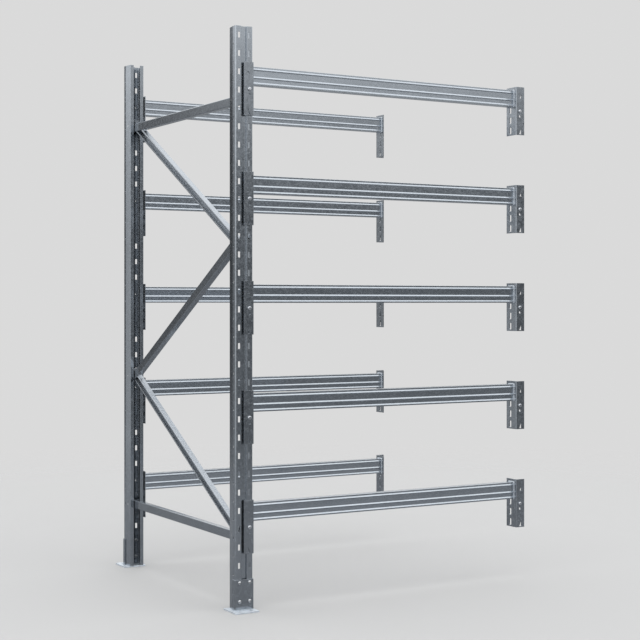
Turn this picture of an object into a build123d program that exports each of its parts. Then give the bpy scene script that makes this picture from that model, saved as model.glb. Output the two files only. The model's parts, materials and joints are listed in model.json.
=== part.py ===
"""Adjustable pallet rack, add-on bay.

One braced upright frame carries five pairs of beams. The beams hook into the
frame at their left ends; their right ends hook into the frame of the next bay.
X runs along the beams, Y from the front upright to the rear one, +Z is up.
The origin is on the floor, at the outer left corner of the front upright.
All sizes are in millimetres.
"""

import os

from build123d import *

# Grid and overall size
PITCH = 75
SLOT_ROWS = 32
RACK_HEIGHT = PITCH * SLOT_ROWS
FRAME_DEPTH = 1200
BEAM_LENGTH = 1350
LEVEL_COUNT = 5
FIRST_LEVEL = 440
LEVEL_SPACING = 6 * PITCH

# Upright: an open section with a recessed face, sides that slant inward and inward lips
UPRIGHT_WIDTH = 80
UPRIGHT_DEPTH = 66
UPRIGHT_WALL = 2
SLANT_START = 25
SLANT = 6
LIP = 18
RECESS_WIDTH = 24
RECESS_FLOOR = 20
RECESS_DEPTH = 10
FACE_RADIUS = 6
BEND_RADIUS = 3
SLOT_WIDTH = 10
SLOT_HEIGHT = 24
SLOT_CORNER = 1
SLOT_COLUMN = 17
SIDE_HOLE_RADIUS = 4.5
SIDE_HOLE_DEPTH = 18

# Foot
BASE_THICKNESS = 6
BASE_LEFT = -22
BASE_RIGHT = 84
BASE_FRONT = -50
BASE_BACK = 66
BASE_CORNER = 2
ANCHOR_RADIUS = 7
ANCHOR_LINE = -28
ANCHOR_SPACING = 56
BRACKET_WALL = 4
BRACKET_TOP = 130
BRACKET_DEPTH = 24
BRACKET_RADIUS = 8
FOOT_BOLT_ROWS = (42, 42 + PITCH)

# Braces: lipped channels; where two meet, one lies behind the web of the other
BRACE_HEIGHT = 38
BRACE_DEPTH = 26
BRACE_WALL = 2
BRACE_LIP = 7
BRACE_BEND = 3
BRACE_END = 14
BRACE_LEFT = 27
BRACE_HOLE_RADIUS = 4.5

# Brace rivets: distance from the face of the upright, and their heights
RIVET_LINE = 44
RIVET_RADIUS = 4
RIVET_FIT = 0.1
FRONT_RIVETS = {"bottom": 306, "high": 1516, "top": 2100}
REAR_RIVETS = {"bottom": 300, "low": 915, "top": 2110}
SLEEVE_RADIUS = 6
SLEEVE_BORE = 4.2
SLEEVE_START = 6

# Outer braces, which open to the right: heights of the axis at the front and the rear
# rivet line, the rivets, and how far the flanges are cut back from each rivet line
OUTER_BRACES = {
    "brace_horizontal_top": ((2100, 2100), ("top", "top"), (0, 116)),
    "brace_horizontal_bottom": ((300, 300), ("bottom", "bottom"), (56, 0)),
    "brace_diagonal_middle": ((1526, 904), ("high", "low"), (70, 70)),
}

# Inner braces, which open to the left behind the webs of the outer ones: only lips are cut
INNER_BRACES = {
    "brace_diagonal_upper": ((1507, 2121), ("high", "top"), (30, 30)),
    "brace_diagonal_lower": ((312, 926), ("bottom", "low"), (30, 30)),
}

# Beams: closed box section with three beads along each face
BEAM_HEIGHT = 76
BEAM_DEPTH = 40
BEAM_WALL = 2
BEAM_SETBACK = 13
BEAD = 3
BEAD_RISE = 5
BEAD_FALL = 3
BEAD_NOSE = 1.5
BEAD_STARTS = (7.5, 41)
FOOT_BEAD_START = 65
BEAM_FILLET = 0.8

# Connectors: angle plates with two hooks and a hole for the lock pin
CONNECTOR_WALL = 4
CONNECTOR_HEIGHT = 220
CONNECTOR_ABOVE = 14
FACE_LEG = 46
SIDE_LEG = 72
CONNECTOR_RADIUS = 6
HOOK_ROWS = (3.5 * PITCH, 5.5 * PITCH)
LOCK_ROW = 4.5 * PITCH
LOCK_RISE = 5
SIGHT_HOLE_DROP = 18
SIGHT_HOLE_RADIUS = 5
SIDE_SLOT_DROPS = (90, 137, 184)
SIDE_SLOT_WIDTH = 14
SIDE_SLOT_HEIGHT = 30
SIDE_SLOT_CORNER = 4
SIDE_SLOT_SETBACK = 40

# Hooks: their width across the slot's centre line, then heights from the slot's centre
HOOK_OUTER = 4.5
HOOK_INNER = 0.5
HOOK_THICKNESS = 6
HOOK_GAP = 0.3
HOOK_SEAT = 0.2
HOOK_TOP = 7
HOOK_TOP_CHAMFER = 3
HOOK_NOSE = -15
HOOK_TIP = -19
HOOK_HEEL = -16

# Windows beside the hooks: top and bottom from the slot's centre, width at the top, and
# how far the bottom reaches past the hook's near side
WINDOW_EDGE = 9
UPPER_WINDOW = (3, -10, 4, 0)
LOWER_WINDOW = (-2, -24, 3, 2.5)

# Lock pins
PIN_RADIUS = 4
PIN_FIT = 0.05
PIN_REACH = 9
PIN_HEAD_RADIUS = 8
PIN_HEAD = 5
PIN_DOME = 3.5
PIN_CHAMFER = 1

# Foot bolts and nuts
BOLT_RADIUS = 4
BOLT_FLATS = 6.5
BOLT_HEAD = 5.3
BOLT_HOLE_RADIUS = 4.5
NUT_HEIGHT = 5
NUT_FIT = 0.05
FOOT_BOLT_REACH = 10

CENTRE_X = UPRIGHT_WIDTH / 2
BEAM_START = UPRIGHT_WIDTH + CONNECTOR_WALL
BEAM_MIDDLE = BEAM_START + BEAM_LENGTH / 2
HOOK_COLUMN = UPRIGHT_WIDTH - SLOT_COLUMN
FRAME_MIDDLE = Plane.XZ.offset(-FRAME_DEPTH / 2)
BAY_MIDDLE = Plane.YZ.offset(BEAM_MIDDLE)
LEVELS = [FIRST_LEVEL + LEVEL_SPACING * level for level in range(LEVEL_COUNT)]

os.makedirs("parts", exist_ok=True)


def save(piece, name):
    """Label one finished piece and write its STEP file."""
    piece.label = name
    export_step(piece, f"parts/{name}.step")


def at_rear(piece):
    """The same piece on the rear side of the frame."""
    with BuildPart() as rear:
        mirror(piece, about=FRAME_MIDDLE)
    return rear.part


# Uprights ------------------------------------------------------------------

section = [
    (SLANT + LIP, UPRIGHT_DEPTH),
    (SLANT, UPRIGHT_DEPTH),
    (0, SLANT_START),
    (0, 0),
    (CENTRE_X - RECESS_WIDTH / 2, 0),
    (CENTRE_X - RECESS_FLOOR / 2, RECESS_DEPTH),
]
section += [(UPRIGHT_WIDTH - x, y) for x, y in reversed(section)]
section_radii = [BEND_RADIUS] * (len(section) - 2)
section_radii[2] = FACE_RADIUS
section_radii[-3] = FACE_RADIUS
side_outline = section[1:4] + section[-4:-1]

slot_points = [
    (column, (row + 0.5) * PITCH)
    for column in (SLOT_COLUMN, HOOK_COLUMN)
    for row in range(SLOT_ROWS)
]
side_hole_points = [(SIDE_HOLE_DEPTH, row * PITCH) for row in range(1, SLOT_ROWS)]


def upright(rivet_rows):
    """An upright in the front position, with rivet holes at the given heights."""
    with BuildPart() as post:
        with BuildSketch(Plane.XY.offset(BASE_THICKNESS)):
            with BuildLine():
                FilletPolyline(*section, radius=section_radii)
                offset(amount=UPRIGHT_WALL, side=Side.LEFT)
            make_face()
        extrude(amount=RACK_HEIGHT - BASE_THICKNESS)
        with BuildSketch(Plane.XZ):
            with Locations(*slot_points):
                RectangleRounded(SLOT_WIDTH, SLOT_HEIGHT, SLOT_CORNER)
        extrude(amount=RECESS_DEPTH, both=True, mode=Mode.SUBTRACT)
        with BuildSketch(Plane.YZ):
            with Locations(*side_hole_points):
                Circle(SIDE_HOLE_RADIUS)
            with Locations(*[(RIVET_LINE, row) for row in rivet_rows]):
                Circle(RIVET_RADIUS + RIVET_FIT)
        extrude(amount=UPRIGHT_WIDTH, mode=Mode.SUBTRACT)
    return post.part


save(upright(FRONT_RIVETS.values()), "upright_front")
save(at_rear(upright(REAR_RIVETS.values())), "upright_rear")

# Feet ----------------------------------------------------------------------

foot_bolt_points = [
    (column, row) for column in (SLOT_COLUMN, HOOK_COLUMN) for row in FOOT_BOLT_ROWS
]
base_centre = (BASE_LEFT + BASE_RIGHT) / 2

with BuildPart() as base_plate_front:
    with BuildSketch():
        with Locations((base_centre, (BASE_BACK + BASE_FRONT) / 2)):
            RectangleRounded(BASE_RIGHT - BASE_LEFT, BASE_BACK - BASE_FRONT, BASE_CORNER)
        with Locations((base_centre, ANCHOR_LINE)):
            with GridLocations(ANCHOR_SPACING, 0, 2, 1):
                Circle(ANCHOR_RADIUS, mode=Mode.SUBTRACT)
    extrude(amount=BASE_THICKNESS)
save(base_plate_front.part, "base_plate_front")
save(at_rear(base_plate_front.part), "base_plate_rear")

with BuildPart() as foot_bracket_front:
    with BuildSketch(Plane.XY.offset(BASE_THICKNESS)):
        with BuildLine():
            FilletPolyline(
                (-BRACKET_WALL, BRACKET_DEPTH),
                (-BRACKET_WALL, -BRACKET_WALL),
                (UPRIGHT_WIDTH + BRACKET_WALL, -BRACKET_WALL),
                (UPRIGHT_WIDTH + BRACKET_WALL, BRACKET_DEPTH),
                radius=BRACKET_RADIUS,
            )
            offset(amount=BRACKET_WALL, side=Side.LEFT)
        make_face()
    extrude(amount=BRACKET_TOP - BASE_THICKNESS)
    with BuildSketch(Plane.XZ):
        with Locations(*foot_bolt_points):
            Circle(BOLT_HOLE_RADIUS)
    extrude(amount=RECESS_DEPTH, both=True, mode=Mode.SUBTRACT)
save(foot_bracket_front.part, "foot_bracket_front")
save(at_rear(foot_bracket_front.part), "foot_bracket_rear")

with BuildPart() as front_foot_bolts:
    with BuildSketch(Plane.XZ.offset(BRACKET_WALL)):
        with Locations(*foot_bolt_points):
            RegularPolygon(BOLT_FLATS, 6, major_radius=False, rotation=30)
    extrude(amount=BOLT_HEAD)
    with BuildSketch(Plane.XZ.offset(BRACKET_WALL)):
        with Locations(*foot_bolt_points):
            Circle(BOLT_RADIUS)
    extrude(amount=-(BRACKET_WALL + FOOT_BOLT_REACH))

with BuildPart() as foot_bolts:
    add(front_foot_bolts.part)
    mirror(front_foot_bolts.part, about=FRAME_MIDDLE)
save(foot_bolts.part, "foot_bolts")

with BuildPart() as front_foot_nuts:
    with BuildSketch(Plane.XZ.offset(-UPRIGHT_WALL)):
        with Locations(*foot_bolt_points):
            RegularPolygon(BOLT_FLATS, 6, major_radius=False, rotation=30)
            Circle(BOLT_RADIUS + NUT_FIT, mode=Mode.SUBTRACT)
    extrude(amount=-NUT_HEIGHT)

with BuildPart() as foot_nuts:
    add(front_foot_nuts.part)
    mirror(front_foot_nuts.part, about=FRAME_MIDDLE)
save(foot_nuts.part, "foot_nuts")

# Braces --------------------------------------------------------------------


def brace(heights, rivets, web, opening, cut_depth, cuts):
    """A lipped channel from the front rivet line to the rear one.

    heights and rivets give the axis and the rivet holes at the front and the rear.
    web is the x of the web's outer face; opening is +1 when the channel opens to
    the right, -1 to the left. The open side is cut back by cut_depth over the
    lengths in cuts, measured from the front and the rear rivet line.
    """
    rear_line = FRAME_DEPTH - RIVET_LINE
    run = Vector(0, rear_line - RIVET_LINE, heights[1] - heights[0])
    along = run.normalized()
    first = Vector(0, RIVET_LINE, heights[0]) - along * BRACE_END
    last = first + run + along * 2 * BRACE_END
    edge = web + opening * BRACE_DEPTH
    half = BRACE_HEIGHT / 2
    with BuildPart() as channel:
        with BuildSketch(Plane(origin=first, x_dir=(1, 0, 0), z_dir=along)):
            with BuildLine():
                FilletPolyline(
                    (edge, half - BRACE_LIP),
                    (edge, half),
                    (web, half),
                    (web, -half),
                    (edge, -half),
                    (edge, BRACE_LIP - half),
                    radius=BRACE_BEND,
                )
                offset(amount=BRACE_WALL, side=Side.LEFT if opening > 0 else Side.RIGHT)
            make_face()
        extrude(amount=run.length + 2 * BRACE_END)
        for origin, direction, length in ((first, along, cuts[0]), (last, -along, cuts[1])):
            if length:
                with BuildSketch(Plane(origin=origin, x_dir=(1, 0, 0), z_dir=direction)):
                    with Locations((edge - opening * cut_depth / 2, 0)):
                        Rectangle(cut_depth, BRACE_HEIGHT)
                extrude(amount=BRACE_END + length, mode=Mode.SUBTRACT)
        with BuildSketch(Plane.YZ.offset(web)):
            with Locations((RIVET_LINE, rivets[0]), (rear_line, rivets[1])):
                Circle(BRACE_HOLE_RADIUS)
        extrude(amount=opening * BRACE_WALL, mode=Mode.SUBTRACT)
    return channel.part


def save_braces(braces, web, opening, cut_depth):
    """Make and save braces whose webs lie in one plane."""
    for name, (heights, rivets, cuts) in braces.items():
        rivet_rows = (FRONT_RIVETS[rivets[0]], REAR_RIVETS[rivets[1]])
        save(brace(heights, rivet_rows, web, opening, cut_depth, cuts), name)


INNER_WEB = BRACE_LEFT + BRACE_WALL + BRACE_DEPTH
save_braces(OUTER_BRACES, BRACE_LEFT, 1, BRACE_DEPTH - BRACE_WALL)
save_braces(INNER_BRACES, INNER_WEB, -1, BRACE_WALL)


def front_rivets(rows):
    """Rivets across the front upright, set flush with its sides."""
    with BuildPart() as group:
        with BuildSketch(Plane.YZ):
            with Locations(*[(RIVET_LINE, row) for row in rows]):
                Circle(RIVET_RADIUS)
        extrude(amount=UPRIGHT_WIDTH)
        with BuildSketch():
            Polygon(*side_outline, align=None)
        extrude(amount=RACK_HEIGHT, mode=Mode.INTERSECT)
    return group.part


def front_sleeves(rows, left, right):
    """Distance sleeves round the rivets at the given heights, from x = left to x = right."""
    with BuildPart() as group:
        with BuildSketch(Plane.YZ.offset(left)):
            with Locations(*[(RIVET_LINE, row) for row in rows]):
                Circle(SLEEVE_RADIUS)
                Circle(SLEEVE_BORE, mode=Mode.SUBTRACT)
        extrude(amount=right - left)
    return group.part


def front_sleeve_set(shared_rows, single_rows):
    """All the distance sleeves of one upright: between its sides and the brace webs."""
    behind_outer = BRACE_LEFT + BRACE_WALL
    sleeve_end = UPRIGHT_WIDTH - SLEEVE_START
    with BuildPart() as group:
        add(front_sleeves(shared_rows + single_rows, SLEEVE_START, BRACE_LEFT))
        add(front_sleeves(shared_rows, behind_outer, INNER_WEB - BRACE_WALL))
        add(front_sleeves(shared_rows, INNER_WEB, sleeve_end))
        add(front_sleeves(single_rows, behind_outer, sleeve_end))
    return group.part


with BuildPart() as brace_rivets:
    add(front_rivets(FRONT_RIVETS.values()))
    mirror(front_rivets(REAR_RIVETS.values()), about=FRAME_MIDDLE)
save(brace_rivets.part, "brace_rivets")

with BuildPart() as brace_sleeves:
    add(front_sleeve_set([FRONT_RIVETS["bottom"], FRONT_RIVETS["high"]], [FRONT_RIVETS["top"]]))
    rear_set = front_sleeve_set([REAR_RIVETS["low"], REAR_RIVETS["top"]], [REAR_RIVETS["bottom"]])
    mirror(rear_set, about=FRAME_MIDDLE)
save(brace_sleeves.part, "brace_sleeves")

# Beams ---------------------------------------------------------------------


def beam_face():
    """Outline of one beam face, as (distance in, height), from the top down."""
    points = [(BEAD, 0)]
    for start in BEAD_STARTS:
        nose = start + BEAD_RISE
        points += [(BEAD, -start), (0, -nose)]
        points += [(0, -nose - BEAD_NOSE), (BEAD, -nose - BEAD_NOSE - BEAD_FALL)]
    points += [(BEAD, -FOOT_BEAD_START), (0, -FOOT_BEAD_START - BEAD_RISE), (0, -BEAM_HEIGHT)]
    return points


def front_beam(top):
    """One front beam with its top face at the given height."""
    outer = beam_face()
    outline = outer + [(BEAM_DEPTH - y, z) for y, z in reversed(outer)]
    with BuildPart() as beam:
        with BuildSketch(Plane.YZ.offset(BEAM_START)) as profile:
            with Locations((BEAM_SETBACK, top)):
                Polygon(*outline, align=None)
            hollow = offset(profile.face(), -BEAM_WALL, kind=Kind.INTERSECTION, mode=Mode.PRIVATE)
            fillet(profile.vertices(), BEAM_FILLET)
            add(hollow, mode=Mode.SUBTRACT)
        extrude(amount=BEAM_LENGTH)
    return beam.part


for number, top in enumerate(LEVELS, start=1):
    beam_part = front_beam(top)
    save(beam_part, f"beam_front_{number}")
    save(at_rear(beam_part), f"beam_rear_{number}")

# Connectors ----------------------------------------------------------------


def hook_profile(row):
    """Side outline of a hook in the upright's slot at the given height."""
    seat = row + HOOK_SEAT - SLOT_HEIGHT / 2
    inner = UPRIGHT_WALL + HOOK_GAP
    outer = inner + HOOK_THICKNESS
    return [
        (-CONNECTOR_WALL, row + HOOK_TOP),
        (outer - HOOK_TOP_CHAMFER, row + HOOK_TOP),
        (outer, row + HOOK_TOP - HOOK_TOP_CHAMFER),
        (outer, row + HOOK_NOSE),
        (outer - HOOK_THICKNESS / 2, row + HOOK_TIP),
        (inner, row + HOOK_HEEL),
        (inner, seat),
        (-CONNECTOR_WALL, seat),
    ]


def window_outline(row, window):
    """Outline of the window beside the hook at the given height."""
    top, bottom, top_width, reach = window
    edge = HOOK_COLUMN - WINDOW_EDGE
    return [
        (edge, row + top),
        (edge + top_width, row + top),
        (HOOK_COLUMN + HOOK_INNER + reach, row + bottom),
        (edge, row + bottom),
    ]


def left_connector(base):
    """Connector at the left end of a front beam; base is the level's lowest row."""
    top = base + FIRST_LEVEL + CONNECTOR_ABOVE
    bottom = top - CONNECTOR_HEIGHT
    face_edge = BEAM_START - FACE_LEG
    hook_left = HOOK_COLUMN + HOOK_INNER
    hook_right = HOOK_COLUMN + HOOK_OUTER
    upper_hook = base + HOOK_ROWS[1]
    lower_hook = base + HOOK_ROWS[0]
    lock = base + LOCK_ROW
    side_slots = [(SIDE_SLOT_SETBACK, base + FIRST_LEVEL - drop) for drop in SIDE_SLOT_DROPS]
    with BuildPart() as plate:
        with BuildSketch(Plane.XY.offset(bottom)):
            with BuildLine():
                FilletPolyline(
                    (BEAM_START, SIDE_LEG - CONNECTOR_WALL),
                    (BEAM_START, -CONNECTOR_WALL),
                    (face_edge, -CONNECTOR_WALL),
                    radius=CONNECTOR_RADIUS,
                )
                offset(amount=CONNECTOR_WALL, side=Side.RIGHT)
            make_face()
        extrude(amount=CONNECTOR_HEIGHT)
        # windows beside the hooks, the lock pin's bore and the sight hole
        with BuildSketch(Plane.XZ):
            Polygon(*window_outline(upper_hook, UPPER_WINDOW), align=None)
            Polygon(*window_outline(lower_hook, LOWER_WINDOW), align=None)
            with Locations((HOOK_COLUMN, lock + LOCK_RISE)):
                Circle(PIN_RADIUS + PIN_FIT)
            with Locations((HOOK_COLUMN, lock - SIGHT_HOLE_DROP)):
                Circle(SIGHT_HOLE_RADIUS)
        extrude(amount=CONNECTOR_WALL, mode=Mode.SUBTRACT)
        # slots down the side leg, below the beam
        with BuildSketch(Plane.YZ.offset(UPRIGHT_WIDTH)):
            with Locations(*side_slots):
                RectangleRounded(SIDE_SLOT_WIDTH, SIDE_SLOT_HEIGHT, SIDE_SLOT_CORNER)
        extrude(amount=CONNECTOR_WALL, mode=Mode.SUBTRACT)
        # hooks
        with BuildSketch(Plane.YZ.offset(hook_left)):
            Polygon(*hook_profile(upper_hook), align=None)
            Polygon(*hook_profile(lower_hook), align=None)
        extrude(amount=hook_right - hook_left)
    return plate.part


for number in range(1, LEVEL_COUNT + 1):
    left_plate = left_connector(LEVEL_SPACING * (number - 1))
    with BuildPart() as connector_pair:
        add(left_plate)
        mirror(left_plate, about=BAY_MIDDLE)
    save(connector_pair.part, f"connectors_front_{number}")
    save(at_rear(connector_pair.part), f"connectors_rear_{number}")

# Lock pins -----------------------------------------------------------------


def front_pin(column, row):
    """A headed pin through a front connector and into the upright's slot."""
    with BuildPart() as pin:
        with BuildSketch(Plane.XZ.offset(CONNECTOR_WALL)):
            with Locations((column, row)):
                Circle(PIN_HEAD_RADIUS)
        extrude(amount=PIN_HEAD)
        fillet(pin.edges().sort_by(Axis.Y)[0], PIN_DOME)
        with BuildSketch(Plane.XZ.offset(CONNECTOR_WALL)):
            with Locations((column, row)):
                Circle(PIN_RADIUS)
        extrude(amount=-(CONNECTOR_WALL + PIN_REACH))
        chamfer(pin.edges().sort_by(Axis.Y)[-1], PIN_CHAMFER)
    return pin.part


for number in range(1, LEVEL_COUNT + 1):
    pin_row = LEVEL_SPACING * (number - 1) + LOCK_ROW + LOCK_RISE
    for end, column in (("left", HOOK_COLUMN), ("right", 2 * BEAM_MIDDLE - HOOK_COLUMN)):
        pin_part = front_pin(column, pin_row)
        save(pin_part, f"lock_pin_front_{end}_{number}")
        save(at_rear(pin_part), f"lock_pin_rear_{end}_{number}")
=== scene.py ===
"""Looks for the pallet rack add-on bay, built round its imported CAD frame. Lengths are in metres."""

import json
import math

import bpy
from mathutils import Matrix, Vector


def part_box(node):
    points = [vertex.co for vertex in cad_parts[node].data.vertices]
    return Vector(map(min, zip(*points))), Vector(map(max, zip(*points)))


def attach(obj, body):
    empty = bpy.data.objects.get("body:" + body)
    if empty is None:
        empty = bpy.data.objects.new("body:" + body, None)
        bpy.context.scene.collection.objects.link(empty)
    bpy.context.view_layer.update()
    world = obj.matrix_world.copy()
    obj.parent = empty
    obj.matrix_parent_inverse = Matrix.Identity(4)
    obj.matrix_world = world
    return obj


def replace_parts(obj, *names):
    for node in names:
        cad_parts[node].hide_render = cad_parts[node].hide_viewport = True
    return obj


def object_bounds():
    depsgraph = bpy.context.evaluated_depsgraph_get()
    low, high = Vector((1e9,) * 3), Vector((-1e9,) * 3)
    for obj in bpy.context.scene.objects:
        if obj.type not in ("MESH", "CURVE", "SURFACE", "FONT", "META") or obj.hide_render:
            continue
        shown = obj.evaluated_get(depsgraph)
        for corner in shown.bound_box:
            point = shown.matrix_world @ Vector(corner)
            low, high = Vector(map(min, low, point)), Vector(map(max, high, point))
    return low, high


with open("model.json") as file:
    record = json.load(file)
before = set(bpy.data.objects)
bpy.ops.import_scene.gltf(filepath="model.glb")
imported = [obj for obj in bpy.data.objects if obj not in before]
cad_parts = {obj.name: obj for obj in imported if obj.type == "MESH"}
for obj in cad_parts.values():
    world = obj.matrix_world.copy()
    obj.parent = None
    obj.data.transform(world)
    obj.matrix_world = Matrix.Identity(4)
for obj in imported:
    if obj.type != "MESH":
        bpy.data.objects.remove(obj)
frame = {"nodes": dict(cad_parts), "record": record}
cad_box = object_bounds()
MM = 0.001
ROOT = "rack_frame"
LEVELS = range(1, 6)
SIDES = ("front", "rear")
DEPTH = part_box("upright_rear")[1][1]
UPRIGHT_WALL = 2 * MM

# Steel. Scales are in features per metre, and shares say how much each feature counts.
STEEL_BLUE = 0.075
BRIGHT_BLUE = 0.02
WOBBLE_DENSITY = 1.7
WOBBLE_REACH = 0.35
FINE_CRYSTALS = 2.9
COARSE_SHARE = 0.6
FINE_SHARE = 0.4
CRYSTAL_SHARE = 0.36
PATCH_SHARE = 0.36
STREAK_SHARE = 0.28
PATCH_SCALE = 7.0
GRAIN_SCALE = 2600.0
RUBBED_SCALE = 90.0
RUBBED_RADIUS = 1.2 * MM
RUBBED_SHARE = 0.5
RUBBED_GAIN = 1.35
RUBBED_LIMIT = 0.92
ROUGHNESS_DROP = 0.05
ROUGHNESS_RISE = 0.06
PIT_ROUGHNESS = 0.06
RELIEF_STRENGTH = 0.5
PLATED_EDGE_RADIUS = 0.5 * MM
PLATED_EDGE_SHARE = 0.6
PLATED_EDGE_LIGHT = 0.85
PLATED_ROUGHNESS_RISE = 0.08
SMOOTH_RELIEF = 0.01 * MM
WELD_LIGHT = 0.66
WELD_DARK = 0.40
WELD_METAL = 0.8
WELD_RELIEF = 0.08 * MM
WELD_RELIEF_STRENGTH = 0.6

# Streaks from rolling are long along one axis. Sheared plate has none.
ALONG_X = (2.2, 330.0, 330.0)
ALONG_Y = (330.0, 2.2, 330.0)
ALONG_Z = (330.0, 330.0, 2.2)
EVEN = (60.0, 60.0, 60.0)

GALVANISED = {
    "galvanised_upright": dict(light=0.48, dark=0.36, roughness=0.16, spangle=120.0, streak=ALONG_Z),
    "galvanised_foot": dict(
        light=0.44, dark=0.32, roughness=0.18, spangle=100.0, streak=EVEN, speck=0.2
    ),
    "galvanised_plate": dict(
        light=0.86, dark=0.52, roughness=0.50, spangle=60.0, streak=EVEN,
        speck=0.3, relief=0.1 * MM, metal=0.45
    ),
    "galvanised_brace": dict(light=0.42, dark=0.31, roughness=0.15, spangle=130.0, streak=ALONG_Y),
    "galvanised_beam": dict(
        light=0.56, dark=0.46, roughness=0.14, spangle=140.0, streak=ALONG_X, speck=0.08
    ),
    "galvanised_connector": dict(
        light=0.46, dark=0.30, roughness=0.18, spangle=90.0, streak=EVEN,
        speck=0.25, relief=0.02 * MM
    ),
}
PLATED = {
    "plated_pin": dict(light=0.74, roughness=0.20, tint=(0.60, 0.62, 0.66, 1.0)),
    "plated_fastener": dict(light=0.72, roughness=0.22, tint=(0.56, 0.57, 0.57, 1.0)),
}
# The two inner diagonals look paler than the other braces because the insides of their channels reflect
# bright light. Their paler, rougher copy of the brace steel paints that sheen into their colour.
PAINTED_SHEEN_BRACES = ("brace_diagonal_upper", "brace_diagonal_lower")
PAINTED_SHEEN_BRACE = dict(light=0.47, dark=0.36, roughness=0.26, spangle=130.0, streak=ALONG_Y, metal=0.72)

# Bolts and nuts at the feet
ROUND_STEPS = 72
BOLT_RADIUS = 4 * MM
FLATS = 13 * MM
HEAD_HEIGHT = 5.3 * MM
HEAD_RIM = 0.55
HEAD_CHAMFER = 0.6
DOME_RINGS = (0.97, 0.88, 0.74, 0.55, 0.32, 0.12)
NUT_HEIGHT = 5.0 * MM
NUT_BORE = 4.05 * MM
NUT_TOP = 0.96
NUT_CHAMFER = math.tan(math.radians(30))
TIP_LENGTH = 14 * MM
THREAD_PITCH = 1.25 * MM
THREAD_DEPTH = 0.35 * MM
THREAD_STEPS = 28
RINGS_PER_PITCH = 8
TIP_CHAMFER = 0.55 * MM
TIP_SLOPE = 0.8
# Radians per metre of place, so that no two heads are turned alike
COLUMN_SPIN = 37
ROW_SPIN = 91

# Welds. The profile is (out, up) in legs, from under the edge of a piece to the bead's toe.
WELD_LEG = 4 * MM
WELD_STEP = 1.6 * MM
WELD_PROFILE = [(-0.85, 0.0), (-0.85, 0.95), (-0.1, 0.95), (0.35, 0.75), (0.72, 0.42), (1.0, 0.0)]
WELD_HEIGHT = 0.9
WELD_END = 0.45
WELD_SMOOTH_ANGLE = 60.0
RIPPLE = 0.10
RIPPLE_RATE = 2.1
DRIFT = 0.06
DRIFT_RATE = 0.37
DRIFT_SHIFT = 900
ARC_STEPS = 8
BEAM_CORNER = 2.5 * MM
BRACKET_CORNER = 8 * MM
BRACKET_SIDE_GAP = 3 * MM
BRACKET_FACE_GAP = 9 * MM

# Floor: its own colour, and how dark it looks mirrored in the steel, as if flagged off
FLOOR_COLOUR = (0.465, 0.463, 0.460, 1.0)
FLOOR_IN_STEEL = (0.20, 0.205, 0.215, 1.0)
FLOOR_ROUGHNESS = 0.75
FLOOR_SPECULAR = 0.15
FLOOR_REACH = 12.0
FADE_START = 2.0
FADE_END = 6.0

# Studio: brightness by elevation in degrees, all round, on the dark wall and at the windows
BACKDROP = (0.702, 0.702, 0.702, 1.0)
SKY = [
    (-90, 0.40), (-25, 0.38), (-12, 0.26), (-6, 0.19), (-2, 0.15), (3, 0.13),
    (6, 0.20), (10, 0.82), (13, 1.2), (30, 1.35), (90, 1.6),
]
DARK_WALL = [
    (-90, 0.40), (-25, 0.36), (-10, 0.30), (-6, 0.16), (-2, 0.05), (6, 0.05),
    (9, 0.10), (12, 0.35), (30, 1.2), (90, 1.6),
]
WINDOW = [(-90, 0.4), (-12, 0.55), (-3, 0.85), (3, 0.95), (12, 1.6), (30, 1.4), (90, 1.6)]
# Where each lies, the cosines at which it starts and is full, and its share there
STUDIO_SIDES = (
    dict(side=(-0.233, 0.972, 0.0), start=0.950, full=0.977, share=1.0, stops=DARK_WALL),
    dict(side=(-0.985, -0.17, 0.0), start=0.1, full=0.75, share=0.75, stops=WINDOW),
    dict(side=(0.94, 0.34, 0.0), start=0.4, full=0.95, share=0.3, stops=WINDOW),
)
DIM_LIMIT = 0.6
DIM_BLUE = 0.05
GLOW_BLUE = 0.01
OVERHEAD_PLACE = (0.3, -0.8, 5.2)
OVERHEAD_TARGET = (0.7, 0.6, 0.6)
OVERHEAD_SIZE = (3.2, 2.4)
OVERHEAD_POWER = 30

# Camera
CAMERA_PLACE = (-2.6235, -5.256, 1.270)
CAMERA_TURN = -29.9
CAMERA_LENS = 80.7
CAMERA_SENSOR = 36.0
CAMERA_SHIFT = -0.029
CAMERA_REACH = 60


# Node helpers --------------------------------------------------------------

class Nodes:
    """The emptied node tree of a material or a world, with short ways to add and join nodes."""

    def __init__(self, owner):
        owner.use_nodes = True
        self.tree = owner.node_tree
        self.tree.nodes.clear()

    def add(self, kind, **settings):
        node = self.tree.nodes.new(kind)
        for key, value in settings.items():
            setattr(node, key, value)
        return node

    def join(self, source, target):
        self.tree.links.new(source, target)

    def put(self, socket, value):
        """Links value to socket if it is an output, else sets it."""
        if isinstance(value, bpy.types.NodeSocket):
            self.join(value, socket)
        else:
            socket.default_value = value

    def math(self, operation, a, b, clamp=False):
        node = self.add("ShaderNodeMath", operation=operation, use_clamp=clamp)
        self.put(node.inputs[0], a)
        self.put(node.inputs[1], b)
        return node.outputs["Value"]

    def weighted(self, first, *others):
        """The sum of (value, weight) pairs."""
        total = self.math("MULTIPLY", *first)
        for value, weight in others:
            total = self.math("ADD", total, self.math("MULTIPLY", value, weight))
        return total

    def spread(self, value, low, high, to_low=0.0, to_high=1.0, kind="LINEAR"):
        node = self.add("ShaderNodeMapRange", interpolation_type=kind)
        self.put(node.inputs["Value"], value)
        node.inputs["From Min"].default_value = low
        node.inputs["From Max"].default_value = high
        node.inputs["To Min"].default_value = to_low
        node.inputs["To Max"].default_value = to_high
        return node.outputs["Result"]

    def mix(self, factor, a, b):
        node = self.add("ShaderNodeMix", data_type="RGBA")
        self.put(node.inputs["Factor"], factor)
        self.put(node.inputs["A"], a)
        self.put(node.inputs["B"], b)
        return node.outputs["Result"]


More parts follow.
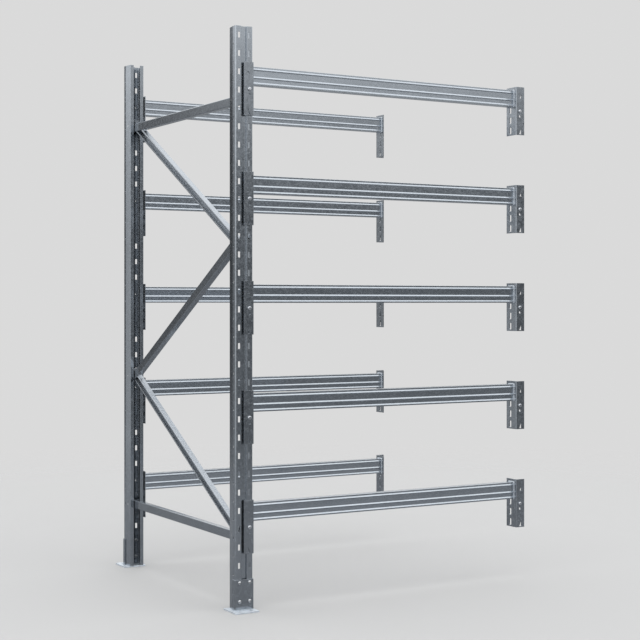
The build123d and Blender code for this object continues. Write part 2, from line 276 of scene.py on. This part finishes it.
class Surface(Nodes):
    """A new material, round one Principled shader and the object's own coordinates."""

    def __init__(self, name):
        self.material = bpy.data.materials.new(name)
        super().__init__(self.material)
        self.shader = self.add("ShaderNodeBsdfPrincipled")
        self.place = self.add("ShaderNodeTexCoord").outputs["Object"]
        output = self.add("ShaderNodeOutputMaterial")
        self.join(self.shader.outputs["BSDF"], output.inputs["Surface"])

    def stretched(self, scale):
        mapping = self.add("ShaderNodeMapping")
        self.join(self.place, mapping.inputs["Vector"])
        mapping.inputs["Scale"].default_value = scale
        return mapping.outputs["Vector"]

    def noise(self, scale, detail, rough=0.5, vector=None):
        node = self.add("ShaderNodeTexNoise")
        self.join(vector or self.place, node.inputs["Vector"])
        node.inputs["Scale"].default_value = scale
        node.inputs["Detail"].default_value = detail
        node.inputs["Roughness"].default_value = rough
        return node.outputs["Fac"]

    def cells(self, scale, vector):
        """A random brightness for each cell."""
        node = self.add("ShaderNodeTexVoronoi", feature="F1")
        self.join(vector, node.inputs["Vector"])
        node.inputs["Scale"].default_value = scale
        split = self.add("ShaderNodeSeparateColor")
        self.join(node.outputs["Color"], split.inputs["Color"])
        return split.outputs["Red"]

    def crystals(self, spangle):
        """Coarse and fine crystals with uneven borders, spangle of the coarse ones to the metre."""
        wobble = self.add("ShaderNodeTexNoise")
        self.join(self.place, wobble.inputs["Vector"])
        wobble.inputs["Scale"].default_value = spangle * WOBBLE_DENSITY
        scaled = self.add("ShaderNodeVectorMath", operation="SCALE")
        self.join(wobble.outputs["Color"], scaled.inputs[0])
        scaled.inputs["Scale"].default_value = WOBBLE_REACH / spangle
        warp = self.add("ShaderNodeVectorMath", operation="ADD")
        self.join(self.place, warp.inputs[0])
        self.join(scaled.outputs["Vector"], warp.inputs[1])
        coarse = self.cells(spangle, warp.outputs["Vector"])
        fine = self.cells(spangle * FINE_CRYSTALS, warp.outputs["Vector"])
        return self.weighted((coarse, COARSE_SHARE), (fine, FINE_SHARE))

    def edges(self, radius):
        """(rounded normal, mask that is 1 along outer edges)."""
        bevel = self.add("ShaderNodeBevel", samples=4)
        bevel.inputs["Radius"].default_value = radius
        geometry = self.add("ShaderNodeNewGeometry")
        dot = self.add("ShaderNodeVectorMath", operation="DOT_PRODUCT")
        self.join(bevel.outputs["Normal"], dot.inputs[0])
        self.join(geometry.outputs["Normal"], dot.inputs[1])
        return bevel.outputs["Normal"], self.spread(dot.outputs["Value"], low=0.995, high=0.80)

    def bump(self, height, distance, strength, normal=None):
        node = self.add("ShaderNodeBump")
        node.inputs["Strength"].default_value = strength
        node.inputs["Distance"].default_value = distance
        self.join(height, node.inputs["Height"])
        if normal is not None:
            self.join(normal, node.inputs["Normal"])
        return node.outputs["Normal"]

    def finish(self, colour, metal, rough, normal):
        """Feeds the shader and returns the material."""
        self.join(colour, self.shader.inputs["Base Color"])
        self.shader.inputs["Metallic"].default_value = metal
        self.join(rough, self.shader.inputs["Roughness"])
        self.join(normal, self.shader.inputs["Normal"])
        return self.material


def grey(value, blue=0.0):
    """A grey of that brightness, cooler as blue grows."""
    return (value * (1 - blue), value, value * (1 + 1.1 * blue), 1.0)


# Materials -----------------------------------------------------------------

def galvanised(name, light, dark, roughness, spangle, streak, speck=0.12, relief=SMOOTH_RELIEF, metal=0.95):
    """Galvanised steel: flat crystals, fine grain, streaks from rolling and bright rubbed edges.

    light and dark are the brightest and dullest crystal, spangle is crystals per metre,
    streak is the noise scale along X, Y and Z, and speck is how dark the grain's pits are.
    """
    n = Surface(name)
    crystals = n.crystals(spangle)
    patches = n.noise(PATCH_SCALE, detail=4.0, rough=0.55)
    streaks = n.noise(1.0, detail=3.0, rough=0.6, vector=n.stretched(streak))
    grain = n.noise(GRAIN_SCALE, detail=3.0, rough=0.6)
    tone = n.weighted((crystals, CRYSTAL_SHARE), (patches, PATCH_SHARE), (streaks, STREAK_SHARE))
    tone = n.spread(tone, low=0.26, high=0.74)
    colour = n.mix(tone, grey(dark, STEEL_BLUE), grey(light, STEEL_BLUE))
    pits = n.spread(grain, low=0.34, high=0.50, to_low=1.0, to_high=0.0)
    colour = n.mix(n.math("MULTIPLY", pits, speck), colour, grey(dark / 2, STEEL_BLUE))
    normal, edge = n.edges(RUBBED_RADIUS)
    patchy = n.spread(n.noise(RUBBED_SCALE, detail=3.0), low=0.35, high=0.62)
    rubbed = n.math("MULTIPLY", edge, patchy, clamp=True)
    bright = grey(min(light * RUBBED_GAIN, RUBBED_LIMIT), BRIGHT_BLUE)
    colour = n.mix(n.math("MULTIPLY", rubbed, RUBBED_SHARE), colour, bright)
    smoothest = roughness - ROUGHNESS_DROP
    rough = n.spread(crystals, low=0.15, high=0.85, to_low=smoothest, to_high=roughness + ROUGHNESS_RISE)
    rough = n.math("ADD", rough, n.math("MULTIPLY", pits, PIT_ROUGHNESS), clamp=True)
    height = n.weighted((crystals, 0.3), (grain, 0.7))
    return n.finish(colour, metal, rough, n.bump(height, relief, RELIEF_STRENGTH, normal))


def zinc_plated(name, light, roughness, tint):
    """Electroplated fastener: even, bright, with faint passivation colour and handling marks."""
    n = Surface(name)
    cloud = n.noise(220.0, detail=4.0, rough=0.6)
    pits = n.noise(2400.0, detail=2.0)
    colour = n.mix(n.spread(cloud, low=0.35, high=0.68), tint, grey(light, BRIGHT_BLUE))
    normal, edge = n.edges(PLATED_EDGE_RADIUS)
    colour = n.mix(n.math("MULTIPLY", edge, PLATED_EDGE_SHARE), colour, grey(PLATED_EDGE_LIGHT))
    smoothest = roughness - ROUGHNESS_DROP
    rough = n.spread(cloud, low=0.3, high=0.7, to_low=smoothest, to_high=roughness + PLATED_ROUGHNESS_RISE)
    return n.finish(colour, 1.0, rough, n.bump(pits, SMOOTH_RELIEF, RELIEF_STRENGTH, normal))


def weld_metal(name):
    """Weld bead under zinc: its ripples are in the mesh; this adds a bright, coarse, uneven skin."""
    n = Surface(name)
    cloud = n.noise(320.0, detail=4.0, rough=0.65)
    blotches = n.spread(cloud, low=0.35, high=0.65)
    colour = n.mix(blotches, grey(WELD_DARK, STEEL_BLUE), grey(WELD_LIGHT, STEEL_BLUE))
    rough = n.spread(cloud, low=0.3, high=0.7, to_low=0.52, to_high=0.36)
    pits = n.noise(1500.0, detail=3.0)
    return n.finish(colour, WELD_METAL, rough, n.bump(pits, WELD_RELIEF, WELD_RELIEF_STRENGTH))


def paint_nodes():
    """Gives each CAD node the look of its slot, or for the inner diagonals a copy with painted sheen."""
    # A paler, rougher copy of the brace steel, with the sheen of the reflection inside the channels painted
    # into its colour.
    painted_sheen_brace = galvanised("galvanised_brace_painted_sheen", **PAINTED_SHEEN_BRACE)
    node_slot = {part["node"]: part["material_slot"] for part in frame["record"]["subparts"]}
    for node, obj in frame["nodes"].items():
        look = painted_sheen_brace if node in PAINTED_SHEEN_BRACES else looks[node_slot[node]]
        obj.data.materials.clear()
        obj.data.materials.append(look)


# Mesh helpers --------------------------------------------------------------

def new_object(name, data):
    """A new object with that data, in the scene."""
    thing = bpy.data.objects.new(name, data)
    bpy.context.scene.collection.objects.link(thing)
    return thing


def new_piece(name, vertices, faces, look, slot_name, body, smooth_angle=30.0):
    """A detail piece that rides on a body; its edges are sharp above smooth_angle degrees."""
    mesh = bpy.data.meshes.new(name)
    mesh.from_pydata(vertices, [], faces)
    mesh.validate()
    mesh.update()
    piece = new_object(name, mesh)
    mesh.materials.append(look)
    mesh.shade_smooth()
    mesh.set_sharp_from_angle(angle=math.radians(smooth_angle))
    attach(piece, body)
    return piece


def rings_to_faces(ring_count, size, first=0, capped=True):
    """Faces that skin consecutive closed rings of points, and both ends if capped."""
    faces = []
    for ring in range(ring_count - 1):
        for i in range(size):
            j = (i + 1) % size
            a = first + ring * size
            faces.append((a + i, a + j, a + size + j, a + size + i))
    if capped:
        last = first + (ring_count - 1) * size
        faces.append(tuple(first + i for i in reversed(range(size))))
        faces.append(tuple(last + i for i in range(size)))
    return faces


def hexagon(half, angle):
    """Distance from the centre to the side of a hexagon, with half its width across the flats."""
    off = (angle + math.pi / 6) % (math.pi / 3) - math.pi / 6
    return half / math.cos(off)


def turned(radii_and_heights):
    """Rings about Z; each is a radius or a function of the angle, with a height or such a function."""
    points = []
    for radius, height in radii_and_heights:
        for i in range(ROUND_STEPS):
            angle = 2 * math.pi * i / ROUND_STEPS
            r = radius(angle) if callable(radius) else radius
            z = height(angle) if callable(height) else height
            points.append((r * math.cos(angle), r * math.sin(angle), z))
    return points


def domed_head():
    """A hexagon bolt head with a domed top, standing on Z = 0."""
    half = FLATS / 2
    rim = HEAD_HEIGHT * HEAD_RIM

    def side(angle):
        return hexagon(half, angle)

    def shoulder(angle):
        return rim - (hexagon(half, angle) - half) * HEAD_CHAMFER

    rings = [(side, 0.0), (side, shoulder)]
    for share in DOME_RINGS:
        rings.append((half * share, rim + (HEAD_HEIGHT - rim) * math.sqrt(1 - share * share)))
    return turned(rings), rings_to_faces(len(rings), ROUND_STEPS)


def hex_nut():
    """A hexagon nut from Z = 0 upward, chamfered at its top."""
    half = FLATS / 2
    top = half * NUT_TOP

    def side(angle):
        return hexagon(half, angle)

    def shoulder(angle):
        return NUT_HEIGHT - (hexagon(half, angle) - top) * NUT_CHAMFER

    rings = [(side, 0.0), (side, shoulder), (top, NUT_HEIGHT), (NUT_BORE, NUT_HEIGHT), (NUT_BORE, 0.0)]
    faces = rings_to_faces(len(rings), ROUND_STEPS, capped=False)
    last = (len(rings) - 1) * ROUND_STEPS
    for i in range(ROUND_STEPS):
        j = (i + 1) % ROUND_STEPS
        faces.append((last + i, last + j, j, i))
    return turned(rings), faces


def bolt_tip():
    """A threaded bolt end along Z, from 0 to its length, with a chamfered tip."""
    steps = int(TIP_LENGTH / THREAD_PITCH * RINGS_PER_PITCH)
    points = []
    for k in range(steps + 1):
        height = TIP_LENGTH * k / steps
        cone = BOLT_RADIUS - TIP_CHAMFER + (TIP_LENGTH - height) * TIP_SLOPE
        for i in range(THREAD_STEPS):
            turn = i / THREAD_STEPS
            phase = (height / THREAD_PITCH - turn) % 1.0
            r = min(BOLT_RADIUS - THREAD_DEPTH * abs(2 * phase - 1), cone)
            angle = 2 * math.pi * turn
            points.append((r * math.cos(angle), r * math.sin(angle), height))
    return points, rings_to_faces(steps + 1, THREAD_STEPS)


def placed(shape, matrix, vertices, faces):
    """Appends a shape's vertices and faces, moved by matrix, to growing lists."""
    first = len(vertices)
    vertices += [tuple(matrix @ Vector(v)) for v in shape[0]]
    faces += [tuple(first + i for i in face) for face in shape[1]]


def pointing(origin, direction, spin):
    """A matrix that takes local +Z to direction, at origin."""
    turn = Vector((0, 0, 1)).rotation_difference(Vector(direction)).to_matrix().to_4x4()
    return Matrix.Translation(origin) @ turn @ Matrix.Rotation(spin, 4, "Z")


# Bolts and nuts ------------------------------------------------------------

def foot_fasteners():
    """Detailed bolts and nuts at both feet, in place of the plain ones."""
    bolts = ([], [])
    nuts = ([], [])
    low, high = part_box("foot_bolts")
    columns = (low[0] + FLATS / 2, high[0] - FLATS / 2)
    rows = (low[2] + FLATS / 2, high[2] - FLATS / 2)
    head = domed_head()
    nut = hex_nut()
    tip = bolt_tip()
    for side in SIDES:
        out = -1 if side == "front" else 1
        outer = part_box(f"foot_bracket_{side}")[0 if side == "front" else 1][1]
        inner = UPRIGHT_WALL if side == "front" else DEPTH - UPRIGHT_WALL
        for column in columns:
            for row in rows:
                spin = column * COLUMN_SPIN + row * ROW_SPIN
                placed(head, pointing((column, outer, row), (0, out, 0), spin), *bolts)
                placed(tip, pointing((column, outer, row), (0, -out, 0), spin), *bolts)
                placed(nut, pointing((column, inner, row), (0, -out, 0), spin * 2), *nuts)
    plated = looks["plated_fastener"]
    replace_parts(new_piece("foot_bolts_detail", *bolts, plated, "plated_fastener", ROOT), "foot_bolts")
    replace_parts(new_piece("foot_nuts_detail", *nuts, plated, "plated_fastener", ROOT), "foot_nuts")


# Welds ---------------------------------------------------------------------

def rounded_route(corners, radius, closed):
    """Points WELD_STEP apart, with outward normals, along a route of straight runs and arcs.

    The route runs with its outside on its right.
    """
    dense = []
    count = len(corners)
    bends = range(count) if closed else range(1, count - 1)
    if not closed:
        dense.append(Vector(corners[0]))
    for i in bends:
        corner = Vector(corners[i])
        back = (Vector(corners[i - 1]) - corner).normalized()
        ahead = (Vector(corners[(i + 1) % count]) - corner).normalized()
        centre = corner + (back + ahead) * radius
        for k in range(ARC_STEPS + 1):
            turn = math.pi / 2 * k / ARC_STEPS
            dense.append(centre - ahead * radius * math.cos(turn) - back * radius * math.sin(turn))
    dense.append(dense[0].copy() if closed else Vector(corners[-1]))
    points = []
    for start, end in zip(dense, dense[1:]):
        steps = max(1, round((end - start).length / WELD_STEP))
        points += [start.lerp(end, k / steps) for k in range(steps)]
    if not closed:
        points.append(dense[-1])
    normals = []
    total = len(points)
    for i in range(total):
        before = points[(i - 1) % total] if closed or i > 0 else points[0]
        after = points[(i + 1) % total] if closed or i < total - 1 else points[-1]
        along = (after - before).normalized()
        normals.append(Vector((along.y, -along.x)))
    return points, normals


def weld_bead(route, closed, place, vertices, faces):
    """A rippled fillet weld along a route.

    place(point, up) gives the position of a point of the route's plane, raised by up from it.
    """
    points, normals = route
    first = len(vertices)
    for i, (point, normal) in enumerate(zip(points, normals)):
        ripple = RIPPLE * math.sin(i * RIPPLE_RATE)
        drift = DRIFT * math.sin(i * DRIFT_RATE + point.x * DRIFT_SHIFT)
        swell = 1 + ripple + drift
        if not closed and i in (0, len(points) - 1):
            swell = WELD_END
        for out, up in WELD_PROFILE:
            reach = out * WELD_LEG * (swell if out > 0 else 1)
            vertices.append(place(point + normal * reach, up * WELD_LEG * swell * WELD_HEIGHT))
    size = len(WELD_PROFILE)
    rings = len(points)
    faces += rings_to_faces(rings, size, first, capped=not closed)
    if closed:
        last = first + (rings - 1) * size
        for i in range(size):
            j = (i + 1) % size
            faces.append((last + i, last + j, first + j, first + i))


def on_plate(plane, inward):
    """Places a weld on the plate at X = plane, where it grows toward the beam's middle."""
    def place(point, up):
        return (plane + inward * up, point.x, point.y)
    return place


def beam_welds(side):
    """Beads all round both ends of each beam on one side, against the connector plates."""
    vertices, faces = [], []
    for level in LEVELS:
        low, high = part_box(f"beam_{side}_{level}")
        corners = [(low[1], low[2]), (high[1], low[2]), (high[1], high[2]), (low[1], high[2])]
        route = rounded_route(corners, BEAM_CORNER, True)
        for plane, inward in ((low[0], 1), (high[0], -1)):
            weld_bead(route, True, on_plate(plane, inward), vertices, faces)
    new_piece(
        f"beam_welds_{side}", vertices, faces, weld_look, "galvanised_connector", ROOT, WELD_SMOOTH_ANGLE
    )


def foot_weld(side):
    """A bead along the left side and the face of a foot bracket, on its base plate."""
    low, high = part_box(f"foot_bracket_{side}")
    top = low[2]
    right = high[0] - BRACKET_FACE_GAP
    if side == "front":
        corners = [(right, low[1]), (low[0], low[1]), (low[0], high[1] - BRACKET_SIDE_GAP)]
    else:
        corners = [(low[0], low[1] + BRACKET_SIDE_GAP), (low[0], high[1]), (right, high[1])]
    vertices, faces = [], []

    def place(point, up):
        return (point.x, point.y, top + up)

    weld_bead(rounded_route(corners, BRACKET_CORNER, False), False, place, vertices, faces)
    new_piece(
        f"foot_weld_{side}", vertices, faces, weld_look, "galvanised_plate", ROOT, WELD_SMOOTH_ANGLE
    )


# Floor, light and camera ---------------------------------------------------

def pale_floor():
    """A large pale floor that fades into the background well away from the object."""
    x, y = ((cad_box[0] + cad_box[1]) / 2)[:2]
    n = Surface("floor")
    path = n.add("ShaderNodeLightPath")
    colour = n.mix(path.outputs["Is Glossy Ray"], FLOOR_COLOUR, FLOOR_IN_STEEL)
    n.join(colour, n.shader.inputs["Base Color"])
    n.shader.inputs["Roughness"].default_value = FLOOR_ROUGHNESS
    n.shader.inputs["Specular IOR Level"].default_value = FLOOR_SPECULAR
    gap = n.add("ShaderNodeVectorMath", operation="DISTANCE")
    n.join(n.place, gap.inputs[0])
    gap.inputs[1].default_value = (x, y, 0.0)
    fade = n.spread(gap.outputs["Value"], FADE_START, FADE_END, to_low=1.0, to_high=0.0)
    n.join(fade, n.shader.inputs["Alpha"])
    signs = ((-1, -1), (1, -1), (1, 1), (-1, 1))
    corners = [(x + across * FLOOR_REACH, y + along * FLOOR_REACH, 0) for across, along in signs]
    mesh = bpy.data.meshes.new("floor")
    mesh.from_pydata(corners, [], [(0, 1, 2, 3)])
    mesh.materials.append(n.material)
    floor = new_object("floor", mesh)


def by_height(n, height, stops):
    """Grey by elevation, from (degrees, brightness) stops."""
    node = n.add("ShaderNodeValToRGB")
    n.join(height, node.inputs["Fac"])
    elements = node.color_ramp.elements
    while len(elements) < len(stops):
        elements.new(0.5)
    for element, (elevation, value) in zip(elements, stops):
        element.position = (math.sin(math.radians(elevation)) + 1) / 2
        element.color = grey(value, DIM_BLUE if value < DIM_LIMIT else GLOW_BLUE)
    return node.outputs["Color"]


def toward(n, direction, side, start, full, share):
    """A factor that grows to share as a direction nears a side of the studio."""
    dot = n.add("ShaderNodeVectorMath", operation="DOT_PRODUCT")
    n.join(direction, dot.inputs[0])
    dot.inputs[1].default_value = side
    return n.spread(dot.outputs["Value"], start, full, to_high=share, kind="SMOOTHSTEP")


def studio():
    """What the steel reflects: bright overhead, dim below, darkest along the horizon.

    The camera itself sees only the plain backdrop.
    """
    world = bpy.data.worlds.new("studio")
    bpy.context.scene.world = world
    n = Nodes(world)
    direction = n.add("ShaderNodeTexCoord").outputs["Generated"]
    split = n.add("ShaderNodeSeparateXYZ")
    n.join(direction, split.inputs["Vector"])
    height = n.spread(split.outputs["Z"], low=-1.0, high=1.0)
    colour = by_height(n, height, SKY)
    for wall in STUDIO_SIDES:
        near = toward(n, direction, wall["side"], wall["start"], wall["full"], wall["share"])
        colour = n.mix(near, colour, by_height(n, height, wall["stops"]))
    lit = n.add("ShaderNodeBackground")
    n.join(colour, lit.inputs["Color"])
    seen = n.add("ShaderNodeBackground")
    seen.inputs["Color"].default_value = BACKDROP
    path = n.add("ShaderNodeLightPath")
    blend = n.add("ShaderNodeMixShader")
    n.join(path.outputs["Is Camera Ray"], blend.inputs["Fac"])
    n.join(lit.outputs["Background"], blend.inputs[1])
    n.join(seen.outputs["Background"], blend.inputs[2])
    output = n.add("ShaderNodeOutputWorld")
    n.join(blend.outputs["Shader"], output.inputs["Surface"])


def overhead_light():
    """A broad soft light from above the front, which isn't mirrored in the steel."""
    data = bpy.data.lights.new("overhead", "AREA")
    data.shape = "RECTANGLE"
    data.size = OVERHEAD_SIZE[0]
    data.size_y = OVERHEAD_SIZE[1]
    data.energy = OVERHEAD_POWER
    light = new_object("overhead", data)
    light.location = OVERHEAD_PLACE
    aim = Vector(OVERHEAD_TARGET) - Vector(OVERHEAD_PLACE)
    light.rotation_euler = aim.to_track_quat("-Z", "Y").to_euler()
    light.visible_glossy = False


def camera():
    """A level camera in front of the object and to its left, turned from +Y toward +X."""
    data = bpy.data.cameras.new("camera")
    data.lens = CAMERA_LENS
    data.sensor_width = CAMERA_SENSOR
    data.shift_y = CAMERA_SHIFT
    data.clip_end = CAMERA_REACH
    camera_object = new_object("camera", data)
    camera_object.location = CAMERA_PLACE
    camera_object.rotation_euler = (math.radians(90), 0, math.radians(CAMERA_TURN))
    bpy.context.scene.camera = camera_object


# Build ---------------------------------------------------------------------

looks = {name: galvanised(name, **settings) for name, settings in GALVANISED.items()}
looks.update({name: zinc_plated(name, **settings) for name, settings in PLATED.items()})
weld_look = weld_metal("weld")
paint_nodes()
foot_fasteners()
for side_name in SIDES:
    beam_welds(side_name)
    foot_weld(side_name)
pale_floor()
studio()
overhead_light()
camera()
bpy.context.scene.view_settings.view_transform = "Standard"
